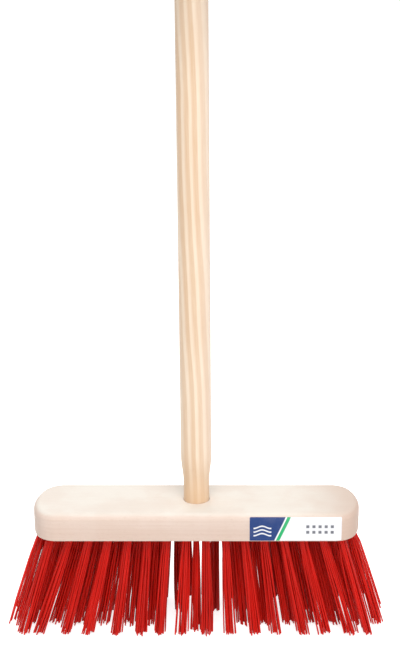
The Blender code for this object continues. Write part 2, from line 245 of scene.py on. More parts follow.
# Sockets of the Mix node, which has a set of them for each kind of value
MIX_FACTOR, MIX_FIRST, MIX_SECOND, MIX_RESULT = 0, 6, 7, 2

# Floor, and lamps that all face one point: (setting of the power, place, width)
FLOOR_SIDES = 64
FLOOR_RADIUS = 4
FLOOR_RIM = 2
FLOOR_SPREAD = 20
FLOOR_ROUGHNESS = 0.9
FLOOR_PATCH, FLOOR_PATCH_SHARE = (0.78, 0.78, 0.78), 0.02
LAMP_TARGET = Vector((0, 0, 0.4))
LAMPS = (("key", (0.2, -2.05, 3.7), 2.5), ("fill", (0.9, -1.8, 0.5), 1.4), ("back", (-0.6, 2.0, 1.6), 1.4))

# The photograph's camera, its picture 400 by 666 pixels
PICTURE_HEIGHT = 666
FOCAL_PIXELS = 1200.0
SENSOR_WIDTH = 36.0
CAMERA_PLACE = (0.03745, -1.01984, 0.58316)
CAMERA_PITCH = math.radians(16.547)
AXIS_OFFSET_PIXELS = 37.13
CLIP_START, CLIP_END = 0.01, 200


def length_setting(name, description, default, lowest=0.0):
    """A property that holds a length."""
    return FloatProperty(name=name, description=description, default=default, min=lowest, unit='LENGTH')


def colour_setting(name, description, default):
    """A property that holds a colour."""
    return FloatVectorProperty(name=name, description=description, default=default, size=3, min=0, max=1,
                               subtype='COLOR')


class HeadSettings(bpy.types.PropertyGroup):
    """Shape and beech of the head block."""

    end_bow: length_setting("End bow", "How far the ends bow out between the corners", 0.012, 0.001)
    corner_radius: length_setting("Corner radius", "Round corners of the block's plan", 0.0215, 0.001)
    top_fillet: length_setting("Top rounding", "Rounding along the top edges", 0.0065, 0.0005)
    lower_arris: length_setting("Lower arris", "Small rounding along the lower edges", 0.0012, 0.0002)
    pale: colour_setting("Pale wood", "Colour of the beech between its rings", (0.765, 0.622, 0.537))
    dark: colour_setting("Ring wood", "Colour of the beech's rings and fibres", (0.68, 0.515, 0.42))
    fleck: colour_setting("Flecks", "Colour of the beech's short dark flecks", (0.50, 0.32, 0.22))
    end_grain: colour_setting("End grain", "Colour where the fibres end at the surface", (0.64, 0.50, 0.42))
    # Warm colour: the right end's warmer wood, and also painted shade along the head's lower edge
    warm: colour_setting("Warm wood", "Colour of the right end and of the rubbed lower edge",
                         (0.56, 0.38, 0.29))
    # Painted top light and sheen: a paler colour laid on the faces that look upwards
    top_light: colour_setting("Dust", "Colour of the sanding dust that lies on the top", (0.85, 0.85, 0.78))


class HandleSettings(bpy.types.PropertyGroup):
    """Pine of the turned pole."""

    ring_spacing: length_setting("Ring spacing", "Distance from one growth ring to the next", 0.0069, 0.001)
    pale: colour_setting("Early wood", "Colour of the pale stripes", (0.90, 0.75, 0.59))
    dark: colour_setting("Late wood", "Colour of the tan stripes", (0.70, 0.47, 0.29))
    # Painted light: a paler colour laid on the pole's right side
    lit_side: colour_setting("Lit side", "Colour of the pole's paler side", (0.93, 0.76, 0.634))
    # Turned-down wood with painted shade towards the head
    turned_and_shaded: colour_setting("Turned down and shaded", "Colour of the wood where the pole is turned down",
                         (0.73, 0.48, 0.28))
    # Painted shade on the pole's upper part, where the light falls off
    upper_shade: colour_setting("Upper shade", "Colour that hands have left on the pole's upper part",
                         (0.50, 0.38, 0.28))


class ScrewSettings(bpy.types.PropertyGroup):
    """Steel of the screw."""

    colour: colour_setting("Steel", "Colour of the screw", (0.62, 0.61, 0.58))


class LabelSettings(bpy.types.PropertyGroup):
    """Size and colours of the paper label."""

    thickness: length_setting("Thickness", "Thickness of the paper", 0.00022, 0.00005)
    corner: length_setting("Corner radius", "Round corners of the paper", 0.0010, 0.0002)
    wrap_angle: FloatProperty(name="Wrap", description="How far the paper runs up over the block's rounding",
                              default=math.radians(38), min=0, max=math.radians(80), subtype='ANGLE')
    paper: colour_setting("Paper", "Colour of the bare paper", (0.88, 0.885, 0.91))
    blue: colour_setting("Blue", "Colour of the blue field", (0.010, 0.042, 0.185))
    ink: colour_setting("Grey ink", "Colour of the printed squares", (0.16, 0.17, 0.2))
    green: colour_setting("Green", "Colour of the green band", (0.012, 0.44, 0.15))


class BristleSettings(bpy.types.PropertyGroup):
    """Strands of the tufts."""

    diameter: length_setting("Strand diameter", "Thickness of one bristle", 0.0014, 0.0005)
    tip_radius: length_setting("Tip radius", "How far a tuft opens at its tips", 0.0039, 0.001)
    inner_tip_radius: length_setting("Inner tip radius", "The same for the two inner rows", 0.0055, 0.001)
    middle_tip_radius: length_setting("Middle tip radius", "The same for the small middle tuft",
                                      0.0034, 0.001)
    looseness: length_setting("Looseness", "How far a strand leaves its place in the bundle", 0.0011)
    stray_reach: length_setting("Stray reach", "How far a stray strand leaves its bundle", 0.0055)
    stray_share: FloatProperty(name="Strays", description="Share of strands that leave their bundle",
                               default=0.2, min=0, max=1, subtype='FACTOR')
    uneven: length_setting("Uneven tips", "How far tips stop short of the trimming line", 0.0040)
    wave: length_setting("Wave", "How far a strand wanders from a straight line", 0.0005)
    seed: IntProperty(name="Seed", description="Changes how the strands bend", default=7, min=0)
    colour: colour_setting("Red", "Colour of the plastic", (0.77, 0.012, 0.005))
    deep: colour_setting("Deep red", "Colour of the darker strands", (0.48, 0.007, 0.003))
    cut_end: colour_setting("Cut ends", "Colour of the rubbed tips", (0.64, 0.022, 0.014))


class StageSettings(bpy.types.PropertyGroup):
    """Floor and light."""

    floor: colour_setting("Floor", "Colour of the floor", (0.82, 0.82, 0.82))
    floor_glow: FloatProperty(name="Floor glow", description="Share of its white that shadows can't darken",
                              default=0.72, min=0, max=1, subtype='FACTOR')
    sky: FloatProperty(name="Sky", description="Strength of the light from all round", default=0.58, min=0)
    key: FloatProperty(name="Key lamp", description="Power of the lamp in front", default=102.0, min=0,
                       unit='POWER')
    fill: FloatProperty(name="Fill lamp", description="Power of the lamp at the side", default=8.0, min=0,
                        unit='POWER')
    back: FloatProperty(name="Back lamp", description="Power of the lamp behind", default=9.0, min=0,
                        unit='POWER')


# In the order of the operators
SETTINGS = {
    "broom_head": HeadSettings,
    "broom_handle": HandleSettings,
    "broom_screw": ScrewSettings,
    "broom_label": LabelSettings,
    "broom_bristles": BristleSettings,
    "broom_stage": StageSettings,
}


# Tools for modelling

def deselect_all():
    """Leaves object mode with nothing selected."""
    if bpy.context.object and bpy.context.object.mode != 'OBJECT':
        bpy.ops.object.mode_set(mode='OBJECT')
    for obj in list(bpy.context.selected_objects):
        obj.select_set(False)


def select_only(*objects):
    """Selects these objects, the first of them active."""
    deselect_all()
    for obj in objects:
        obj.select_set(True)
    bpy.context.view_layer.objects.active = objects[0]


def start_editing(obj):
    """Opens a mesh for editing with all of it selected."""
    select_only(obj)
    bpy.ops.object.mode_set(mode='EDIT')
    bpy.ops.mesh.select_all(action='SELECT')


def stop_editing():
    """Goes back to object mode."""
    bpy.ops.object.mode_set(mode='OBJECT')


def face_outwards():
    """Turns all faces of the open mesh outwards."""
    bpy.ops.mesh.select_all(action='SELECT')
    bpy.ops.mesh.normals_make_consistent(inside=False)


def pick(kind, test):
    """Selects just the vertices, edges or faces of the open mesh that pass a test."""
    bpy.ops.mesh.select_mode(type=kind)
    bpy.ops.mesh.select_all(action='DESELECT')
    mesh = bpy.context.edit_object.data
    bm = bmesh.from_edit_mesh(mesh)
    items = [item for item in {'VERT': bm.verts, 'EDGE': bm.edges, 'FACE': bm.faces}[kind] if test(item)]
    if not items:
        raise RuntimeError(f"nothing to pick on {bpy.context.edit_object.name}")
    for item in items:
        item.select_set(True)
    bm.select_flush_mode()
    bmesh.update_edit_mesh(mesh)


def extrude(offset):
    """Extrudes what is selected by an offset."""
    bpy.ops.mesh.extrude_region_move(TRANSFORM_OT_translate={"value": tuple(offset)})


def resize(factors, centre):
    """Resizes what is selected about a point."""
    bpy.ops.transform.resize(value=factors, center_override=centre)


def new_primitive(add, **settings):
    """Adds a primitive and returns its object."""
    deselect_all()
    add(**settings)
    return bpy.context.object


def apply_place(obj):
    """Puts an object's place into its mesh."""
    select_only(obj)
    bpy.ops.object.transform_apply(location=True, rotation=True, scale=True)


def apply_modifier(obj, kind, **settings):
    """Adds a modifier and applies it."""
    select_only(obj)
    modifier = obj.modifiers.new(kind.title(), kind)
    for name, value in settings.items():
        setattr(modifier, name, value)
    bpy.ops.object.modifier_apply(modifier=modifier.name)


def turned(stations, sides, centre, axis, turn=(0, 0, 0)):
    """A round solid along an axis, 1 for Y or 2 for Z: a disc extruded and resized to (radius, place)."""
    radius, place = stations[0]
    start = [place if index == axis else centre[index] for index in range(3)]
    solid = new_primitive(bpy.ops.mesh.primitive_circle_add, vertices=sides, radius=radius,
                          fill_type='NGON', location=start, rotation=turn)
    start_editing(solid)
    for next_radius, next_place in stations[1:]:
        extrude([next_place - place if index == axis else 0 for index in range(3)])
        resize([1 if index == axis else next_radius / radius for index in range(3)], centre)
        radius, place = next_radius, next_place
    face_outwards()
    stop_editing()
    return solid


def join(objects):
    """Joins objects into the first."""
    select_only(*objects)
    if len(objects) > 1:
        bpy.ops.object.join()
    return bpy.context.object


def cut_out(obj, cutters):
    """Cuts the cutters out of a piece and removes them."""
    cutter = join(cutters)
    apply_modifier(obj, 'BOOLEAN', operation='DIFFERENCE', solver='EXACT', object=cutter)
    bpy.data.objects.remove(cutter, do_unlink=True)


def shade(obj, angle=SHARP_ANGLE):
    """Smooth shading across edges that turn less than an angle."""
    select_only(obj)
    bpy.ops.object.shade_smooth_by_angle(angle=angle)


def finish_piece(obj, name, nodes, material):
    """Puts a piece's place into its mesh, names it and ties it to the frame."""
    apply_place(obj)
    obj.name = name
    obj.data.name = name
    obj.data.materials.clear()
    obj.data.materials.append(material)
    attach(obj, BODY)
    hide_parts(*nodes)


# Tools for materials

def add_node(tree, kind, inputs=None, **settings):
    """Adds a node; an input takes a value or another node's output."""
    node = tree.nodes.new(kind)
    for name, value in settings.items():
        setattr(node, name, value)
    for socket, value in (inputs or {}).items():
        if isinstance(value, bpy.types.NodeSocket):
            tree.links.new(value, node.inputs[socket])
        else:
            node.inputs[socket].default_value = value
    return node


def maths(tree, operation, *values):
    """Output of a Math node."""
    return add_node(tree, 'ShaderNodeMath', dict(enumerate(values)), operation=operation).outputs[0]


def total(tree, *values):
    """All values added."""
    return reduce(lambda first, second: maths(tree, 'ADD', first, second), values)


def product(tree, *values):
    """All values multiplied."""
    return reduce(lambda first, second: maths(tree, 'MULTIPLY', first, second), values)


def stretched(tree, vector, scale):
    """A vector scaled along each axis."""
    return add_node(tree, 'ShaderNodeVectorMath', {0: vector, 1: scale}, operation='MULTIPLY').outputs[0]


def from_axis(tree, vector, across):
    """How far a place lies from an axis, with a 0 in across for that axis and a 1 for the others."""
    flat = stretched(tree, vector, across)
    return add_node(tree, 'ShaderNodeVectorMath', {0: flat}, operation='LENGTH').outputs["Value"]


def parts(tree, vector):
    """A vector's parts along the axes."""
    return add_node(tree, 'ShaderNodeSeparateXYZ', {"Vector": vector}).outputs


def facing(tree):
    """The parts of the surface's normal along the axes."""
    return parts(tree, tree.nodes.new('ShaderNodeNewGeometry').outputs["Normal"])


def remap(tree, value, low, high, new_low=0.0, new_high=1.0):
    """A value carried from one range to another, held at its ends."""
    inputs = {"Value": value, "From Min": low, "From Max": high, "To Min": new_low, "To Max": new_high}
    return add_node(tree, 'ShaderNodeMapRange', inputs, clamp=True,
                    interpolation_type='SMOOTHSTEP').outputs["Result"]


def band(tree, value, limits, edge):
    """Mask of the values between two limits, with soft edges."""
    low, high = limits
    return product(tree, remap(tree, value, low - edge, low + edge),
                   remap(tree, value, high - edge, high + edge, 1.0, 0.0))


def layered(tree, colour, *layers):
    """A colour with others laid over it in turn, each given as its share and itself."""
    for share, over in layers:
        first, second = (value if isinstance(value, bpy.types.NodeSocket) else (*value, 1.0)
                         for value in (colour, over))
        mix = add_node(tree, 'ShaderNodeMix', data_type='RGBA',
                       inputs={MIX_FACTOR: share, MIX_FIRST: first, MIX_SECOND: second})
        colour = mix.outputs[MIX_RESULT]
    return colour


def noise(tree, vector, scale, detail, roughness=0.5, along=1):
    """Factor output of a noise texture, which is drawn out along Z where along is under 1."""
    inputs = {"Vector": stretched(tree, vector, (1, 1, along)), "Scale": scale, "Detail": detail,
              "Roughness": roughness}
    return add_node(tree, 'ShaderNodeTexNoise', inputs).outputs["Fac"]


def new_group(name, inputs, outputs):
    """An empty node group that puts out masks; an input without a default is a vector."""
    tree = bpy.data.node_groups.new(name, 'ShaderNodeTree')
    for socket_name, default in inputs.items():
        kind = 'NodeSocketVector' if default is None else 'NodeSocketFloat'
        socket = tree.interface.new_socket(socket_name, in_out='INPUT', socket_type=kind)
        if default is not None:
            socket.default_value = default
    for socket_name in outputs:
        tree.interface.new_socket(socket_name, in_out='OUTPUT', socket_type='NodeSocketFloat')
    return tree, tree.nodes.new('NodeGroupInput').outputs, tree.nodes.new('NodeGroupOutput').inputs


def use_group(tree, name, inputs):
    """Outputs of a node group that is placed with its own values."""
    return add_node(tree, 'ShaderNodeGroup', inputs, node_tree=bpy.data.node_groups[name]).outputs


def new_material(name, metallic=0.0, specular=0.5):
    """A material with an empty Principled shader."""
    material = bpy.data.materials.new(name)
    material.use_nodes = True
    shader = material.node_tree.nodes["Principled BSDF"]
    shader.inputs["Metallic"].default_value = metallic
    shader.inputs["Specular IOR Level"].default_value = specular
    return material, material.node_tree


def dress(material, colour, mask, roughness, height, relief):
    """Gives a material its colour, a roughness that follows a mask between two values, and a relief."""
    tree = material.node_tree
    shader = tree.nodes["Principled BSDF"]
    bump = add_node(tree, 'ShaderNodeBump', {"Height": height, "Distance": relief, "Strength": 1.0})
    tree.links.new(colour, shader.inputs["Base Color"])
    tree.links.new(remap(tree, mask, 0, 1, *roughness), shader.inputs["Roughness"])
    tree.links.new(bump.outputs["Normal"], shader.inputs["Normal"])
    return material


def object_vector(tree, location=(0, 0, 0), rotation=(0, 0, 0), scale=(1, 1, 1)):
    """Object coordinates, turned and moved."""
    coordinates = tree.nodes.new('ShaderNodeTexCoord').outputs["Object"]
    inputs = {"Vector": coordinates, "Location": location, "Rotation": rotation, "Scale": scale}
    return add_node(tree, 'ShaderNodeMapping', inputs).outputs["Vector"]


def seen_rays(tree):
    """Whether a ray is the camera's, and whether it is that or a glossy one."""
    path = tree.nodes.new('ShaderNodeLightPath').outputs
    return path["Is Camera Ray"], maths(tree, 'MAXIMUM', path["Is Camera Ray"], path["Is Glossy Ray"])


def build_wood_group():
    """Growth rings round the vector's Z axis, fine fibres along it and short flecks."""
    tree, start, end = new_group(
        "wood_figure", {"Vector": None, "Ring Spacing": 0.005, "Waver": 0.002, "Late Share": 0.5,
                        "Fibre Scale": 900.0}, ("Rings", "Fibres", "Flecks"))
    vector = start["Vector"]
    slow, quick = (maths(tree, 'SUBTRACT', noise(tree, vector, **waver), 0.5)
                   for waver in (SLOW_WAVER, QUICK_WAVER))
    waver = product(tree, start["Waver"], total(tree, slow, product(tree, quick, QUICK_SHARE)))
    years = maths(tree, 'DIVIDE', total(tree, from_axis(tree, vector, (1, 1, 0)), waver),
                  start["Ring Spacing"])
    phase = maths(tree, 'FRACT', years)
    late = maths(tree, 'SUBTRACT', 1.0, start["Late Share"])
    rise = remap(tree, phase, *(total(tree, late, edge) for edge in LATE_EDGE))
    fall = remap(tree, phase, YEAR_END, 1.0, 1.0, 0.0)
    one_year = add_node(tree, 'ShaderNodeTexWhiteNoise', {"W": maths(tree, 'FLOOR', years)},
                        noise_dimensions='1D').outputs["Value"]
    strength = remap(tree, one_year, 0, 1, *YEAR_STRENGTHS)
    tree.links.new(product(tree, rise, fall, strength), end["Rings"])
    fibres = noise(tree, vector, start["Fibre Scale"], detail=3.0, roughness=0.6, along=FIBRES_ALONG)
    tree.links.new(remap(tree, fibres, *FIBRE_LIMITS), end["Fibres"])
    tree.links.new(remap(tree, noise(tree, vector, **FLECKS), *FLECK_LIMITS), end["Flecks"])


def build_top_light_group():
    """Painted top light and sheen: laid on faces that look upwards, thinner in patches."""
    tree, start, end = new_group("settled_dust", {"Patches": 0.5, "Cover": 0.5}, ("Dust",))
    upward = remap(tree, facing(tree)["Z"], *UPWARD_LIMITS)
    thinned = remap(tree, start["Patches"], 0, 1, *TOP_LIGHT_THINNING)
    tree.links.new(product(tree, upward, start["Cover"], thinned), end["Dust"])


def build_handling_group():
    """Soft patches of handling, and a fine grain."""
    tree, start, end = new_group("handling", {"Vector": None, "Scale": 30.0}, ("Patches", "Grain"))
    patches = noise(tree, start["Vector"], start["Scale"], detail=3.0, roughness=0.55)
    tree.links.new(remap(tree, patches, *PATCH_LIMITS), end["Patches"])
    grain = noise(tree, start["Vector"], product(tree, start["Scale"], GRAIN_SCALE), detail=1.0)
    tree.links.new(grain, end["Grain"])


def wood_colour(tree, figure, handling, settings, marks):
    """The pale wood, darkened where rings, fibres and patches lie."""
    shares = [product(tree, (handling if name == "Patches" else figure)[name], share)
              for name, share in marks.items()]
    return layered(tree, settings.pale, (total(tree, *shares), settings.dark))


def beech_material(settings):
    """Sanded beech, its grain along the head and its heart well under the block."""
    material, tree = new_material("sanded_beech")
    figure = use_group(tree, "wood_figure", {
        "Vector": object_vector(tree, location=BEECH_HEART, rotation=BEECH_TURN),
        "Ring Spacing": 0.0042, "Waver": 0.006, "Late Share": 0.45, "Fibre Scale": 1100.0})
    handling = use_group(tree, "handling", {"Vector": object_vector(tree), "Scale": 26.0})
    top_light = use_group(tree, "settled_dust", {"Patches": handling["Patches"], "Cover": TOP_LIGHT_COVER})["Dust"]
    place = parts(tree, object_vector(tree))
    endwise = maths(tree, 'ABSOLUTE', facing(tree)["X"])
    colour = layered(
        tree, wood_colour(tree, figure, handling, settings, BEECH_MARKS),
        (product(tree, figure["Flecks"], FLECK_SHARE), settings.fleck),
        # painted top light and sheen on the upward faces
        (top_light, settings.top_light),
        (remap(tree, endwise, *END_GRAIN_LIMITS, 0.0, END_GRAIN_SHARE), settings.end_grain),
        (remap(tree, place["X"], HALF_LENGTH * WARM_END, HALF_LENGTH, 0.0, WARM_SHARE), settings.warm),
        # painted shade along the lower edge, where the bristles keep the floor's light off
        (remap(tree, place["Z"], UNDERSIDE_Z + LOWER_SHADE_FROM, UNDERSIDE_Z + LOWER_SHADE_TO, 0.0, LOWER_SHADE_SHARE),
         settings.warm))
    return dress(material, colour, mask=figure["Fibres"], roughness=(0.5, 0.62),
                 height=figure["Fibres"], relief=0.00005)


def pine_material(settings):
    """Turned pine, its nearly flat growth rings cut at a slant along the pole."""
    material, tree = new_material("turned_pine")
    figure = use_group(tree, "wood_figure", {
        "Vector": object_vector(tree, location=PINE_HEART, rotation=PINE_TURN),
        "Ring Spacing": settings.ring_spacing, "Waver": 0.006, "Late Share": 0.64, "Fibre Scale": 1500.0})
    handling = use_group(tree, "handling", {"Vector": object_vector(tree, scale=(1, 1, 0.3)), "Scale": 40.0})
    place = parts(tree, object_vector(tree))
    turned_and_shaded_to = HEAD_TOP_Z + TENON_STAND_UP + SHOULDER_LENGTH * TURNED_AND_SHADED_SHOULDERS
    colour = layered(
        tree, wood_colour(tree, figure, handling, settings, PINE_MARKS),
        # painted light on the pole's right side
        (remap(tree, place["X"], 0.0, LIT_SIDE_X, 0.0, LIT_SIDE_SHARE), settings.lit_side),
        # turned-down wood with painted shade, darker towards the head
        (remap(tree, place["Z"], HEAD_TOP_Z, turned_and_shaded_to, TURNED_AND_SHADED_SHARE, 0.0), settings.turned_and_shaded),
        # painted shade on the pole's upper part
        (remap(tree, place["Z"], UPPER_SHADE_FROM, UPPER_SHADE_TO, 0.0, UPPER_SHADE_SHARE), settings.upper_shade))
    return dress(material, colour, mask=figure["Rings"], roughness=(0.5, 0.38),
                 height=figure["Fibres"], relief=0.00004)


def bristle_material(settings):
    """Glossy red plastic: each strand has its own tone, the inner rows' tufts painted lighter and the outer
    rows' darker against the shade between rows, and rubbed ends.
    """
    material, tree = new_material("red_bristle_plastic", specular=0.18)
    tone = add_node(tree, 'ShaderNodeAttribute', attribute_name="strand_tone").outputs["Fac"]
    along = add_node(tree, 'ShaderNodeAttribute', attribute_name="strand_along").outputs["Fac"]
    handling = use_group(tree, "handling", {"Vector": object_vector(tree, scale=(1, 1, 0.15)), "Scale": 90.0})
    deep = total(tree, tone, product(tree, handling["Patches"], BRISTLE_PATCH_SHARE))
    colour = layered(tree, settings.colour, (deep, settings.deep),
                     (remap(tree, along, CUT_END_FROM, 1.0, 0.0, CUT_END_SHARE), settings.cut_end))
    return dress(material, colour, mask=handling["Patches"], roughness=(0.34, 0.5),
                 height=handling["Grain"], relief=0.00003)


def steel_material(settings):
    """Plain steel, turned marks round the screw's axis."""
    material, tree = new_material("screw_steel", metallic=1.0)
    vector = object_vector(tree, location=(0, 0, -SCREW_Z))
    marks = maths(tree, 'SINE', product(tree, from_axis(tree, vector, (1, 0, 1)), TURNED_MARK_RATE))
    handling = use_group(tree, "handling", {"Vector": vector, "Scale": 500.0})
    dull = (product(tree, handling["Patches"], DULL_SHARE), [DULL_TONE * part for part in settings.colour])
    return dress(material, layered(tree, settings.colour, dull), mask=handling["Patches"],
                 roughness=(0.28, 0.5), height=marks, relief=0.00001)


def printed_waves(tree, right, up):
    """Mask of the plain waves on the label's blue field."""
    wave = product(tree, maths(tree, 'SINE', product(tree, right, WAVE_RATE)), WAVE_HEIGHT)
    level = total(tree, up, wave)
    lines = total(tree, *(band(tree, level, limits, PRINT_EDGE) for limits in WAVES_UP))
    return product(tree, lines, band(tree, right, WAVES_ALONG, PRINT_EDGE), WAVE_SHARE)


def printed_squares(tree, right, up):
    """Mask of the plain rows of squares on the label's right."""
    square = [band(tree, maths(tree, 'FRACT', maths(tree, 'DIVIDE', value, SQUARE_PITCH)),
                   SQUARE_SHARE, SQUARE_EDGE) for value in (right, up)]
    return product(tree, *square, band(tree, right, SQUARES_ALONG, PRINT_EDGE),
                   band(tree, up, SQUARES_UP, PRINT_EDGE))


def label_material(settings):
    """Coated paper printed with a blue field, a green slanted band and plain rows of squares."""
    material, tree = new_material("printed_paper", specular=0.3)
    place = parts(tree, add_node(tree, 'ShaderNodeUVMap', uv_map="label_print").outputs["UV"])
    right, up = place["X"], place["Y"]
    slant = maths(tree, 'SUBTRACT', right, product(tree, up, BAND_SLANT))
    handling = use_group(tree, "handling", {"Vector": object_vector(tree), "Scale": 70.0})
    colour = layered(
        tree, settings.paper,
        (printed_squares(tree, right, up), settings.ink),
        (remap(tree, slant, *BLUE_EDGE, 1.0, 0.0), settings.blue),
        (printed_waves(tree, right, up), settings.paper),
        (band(tree, slant, GREEN_BAND, GREEN_EDGE), settings.green),
        (product(tree, handling["Patches"], RUBBED_PAPER_SHARE), RUBBED_PAPER))
    return dress(material, colour, mask=handling["Patches"], roughness=(0.34, 0.46),
                 height=handling["Patches"], relief=0.00006)


# Pieces

def rod(radius, start, end, sides):
    """A capped cylinder from one point to another."""
    line = Vector(end) - Vector(start)
    turn = Vector((0, 0, 1)).rotation_difference(line.normalized()).to_euler()
    return new_primitive(bpy.ops.mesh.primitive_cylinder_add, vertices=sides, radius=radius,
                         depth=line.length, location=(Vector(start) + Vector(end)) / 2, rotation=turn)


class TuftPlace:
    """Where a tuft stands, how it leans and where its tips have swayed."""

    def __init__(self, x, y, node):
        self.x, self.y, self.node = x, y, node
        self.middle = node == "tuft_middle"
        self.diameter = MIDDLE_TUFT_DIAMETER if self.middle else TUFT_DIAMETER
        fan = END_FAN_ANGLE * x / OUTER_TUFT_X
        splay = OUTER_SPLAY_ANGLE * y / OUTER_ROW_Y
        line = Vector((math.tan(fan), math.tan(splay), -1)).normalized()
        side = line.cross(Vector((0, 1, 0))).normalized()
        self.root = np.array((x, y, UNDERSIDE_Z))
        self.direction, self.side = np.array(line), np.array(side)
        self.back = np.array(side.cross(line).normalized())
        self.to_ground = self.direction * UNDERSIDE_Z / -line.z
        by_bore = abs(x) < BORE_REACH_X
        inner_row = abs(y) < ROW_PITCH
        self.inner = inner_row and not by_bore
        if self.middle:
            sway = MIDDLE_SWAY
        elif by_bore and y > 0:
            sway = -math.tan(fan) * UNDERSIDE_Z
        else:
            sway = float(np.interp(x, [step * TUFT_PITCH for step in OUTER_STEPS], TIP_SWAYS))
        forward = INNER_FORWARD if inner_row else 0.0
        self.sway = np.array((sway, TIP_SPREAD * y / OUTER_ROW_Y - forward, 0))
        self.aslant = np.array((ASLANT.get(node, 0.0), 0, 0))


def tuft_places():
    """All tufts, row by row from the front and from left to right, with their node's names."""
    inner_steps = range(-HALF_ROW, HALF_ROW + 1)
    rows = (("front", OUTER_STEPS, 1),
            ("second", [step for step in inner_steps if abs(step) > SECOND_ROW_OPEN_STEPS], 1),
            ("third", [step for step in inner_steps if step], THIRD_ROW_TUFTS_PER_NODE),
            ("back", OUTER_STEPS, 1))
    places = []
    for row, (name, steps, per_node) in enumerate(rows):
        for number, step in enumerate(steps):
            places.append(TuftPlace(step * TUFT_PITCH, row * ROW_PITCH - OUTER_ROW_Y,
                                    f"tuft_{name}_{number // per_node + 1:02d}"))
    return places + [TuftPlace(0.0, MIDDLE_TUFT_Y, "tuft_middle")]


class BROOM_OT_head(bpy.types.Operator):
    """Model the beech head: its plan spun and mirrored, extruded, rounded, bored and drilled"""

    bl_idname = "broom.head"
    bl_label = "Head"

    def plan(self, settings):
        """The closed outline of the underside, from two spun arcs and their mirror images."""
        end_radius = (HALF_WIDTH ** 2 + settings.end_bow ** 2) / (2 * settings.end_bow)
        end_centre = Vector((HALF_LENGTH - end_radius, 0, UNDERSIDE_Z))
        corner_y = HALF_WIDTH - settings.corner_radius
        reach = math.sqrt((end_radius - settings.corner_radius) ** 2 - corner_y ** 2)
        meeting = math.atan2(corner_y, reach)
        corner_centre = end_centre + Vector((reach, corner_y, 0))
        head = new_primitive(bpy.ops.mesh.primitive_plane_add, size=SEAT_GAP,
                             location=(HALF_LENGTH, 0, UNDERSIDE_Z))
        start_editing(head)
        bpy.ops.mesh.merge(type='CENTER')
        for steps, angle, centre in ((END_STEPS, meeting, end_centre),
                                     (CORNER_STEPS, math.pi / 2 - meeting, corner_centre)):
            bpy.ops.mesh.spin(steps=steps, angle=angle, center=centre, axis=(0, 0, -1))
        extrude((-corner_centre.x, 0, 0))
        stop_editing()
        apply_place(head)
        apply_modifier(head, 'MIRROR', use_axis=(True, True, False), merge_threshold=NEAR)
        return head

    def round_rim(self, height, radius, steps):
        """Rounds the edges that lie at a height."""
        pick('EDGE', lambda edge: all(abs(vert.co.z - height) < NEAR for vert in edge.verts))
        bpy.ops.mesh.bevel(offset=radius, offset_type='OFFSET', segments=steps, affect='EDGES',
                           clamp_overlap=False)

    def drills(self):
        """Cutters for the bore, the tuft holes and the screw."""
        foot, mouth = (0, 0, HANDLE_LOW.z - SEAT_GAP), (0, 0, HEAD_TOP_Z + CUT_OVERRUN)
        cutters = [rod(TENON_RADIUS + SEAT_GAP, foot, mouth, BORE_SIDES)]
        for place in tuft_places():
            cutters.append(rod(place.diameter / 2 + SEAT_GAP, place.root - place.direction * TUFT_HOLE_DEPTH,
                               place.root + place.direction * CUT_OVERRUN, TUFT_HOLE_SIDES))
        return cutters + [screw_shape(SEAT_GAP)]

    def execute(self, context):
        settings = context.scene.broom_head
        head = self.plan(settings)
        start_editing(head)
        bpy.ops.mesh.edge_face_add()
        extrude((0, 0, HEAD_TOP_Z - UNDERSIDE_Z))
        face_outwards()
        self.round_rim(HEAD_TOP_Z, settings.top_fillet, FILLET_STEPS)
        self.round_rim(UNDERSIDE_Z, settings.lower_arris, ARRIS_STEPS)
        stop_editing()
        cut_out(head, self.drills())
        shade(head)
        apply_modifier(head, 'WEIGHTED_NORMAL', keep_sharp=True)
        finish_piece(head, "beech_head", ["head_block"], beech_material(settings))
        return {'FINISHED'}


class BROOM_OT_handle(bpy.types.Operator):
    """Model the pine pole: a circle extruded and resized from its tenon to its domed top"""

    bl_idname = "broom.handle"
    bl_label = "Handle"

    def profile(self):
        """(radius, height) from the tenon's foot up to the rim of the top's small flat."""
        foot, top = HANDLE_LOW.z, HANDLE_HIGH.z
        pole = HANDLE_HIGH.x
        stations = [(TENON_RADIUS - TENON_CHAMFER, foot), (TENON_RADIUS, foot + TENON_CHAMFER)]
        for step in range(SHOULDER_STEPS + 1):
            along = step / SHOULDER_STEPS
            swell = (1 - math.cos(math.pi * along)) / 2
            stations.append((TENON_RADIUS + (pole - TENON_RADIUS) * swell,
                             HEAD_TOP_Z + TENON_STAND_UP + SHOULDER_LENGTH * along))
        for step in range(DOME_STEPS):
            angle = math.pi / 2 * step / DOME_STEPS
            stations.append((pole * math.cos(angle), top - DOME_HEIGHT * (1 - math.sin(angle))))
        stations.append((pole * math.cos(math.pi / 2 * (1 - TOP_FLAT_SHARE / DOME_STEPS)), top))
        return stations

    def execute(self, context):
        handle = turned(self.profile(), HANDLE_SIDES, centre=(0, 0, 0), axis=2)
        shade(handle)
        finish_piece(handle, "pine_handle", ["handle"],
                     pine_material(context.scene.broom_handle))
        return {'FINISHED'}


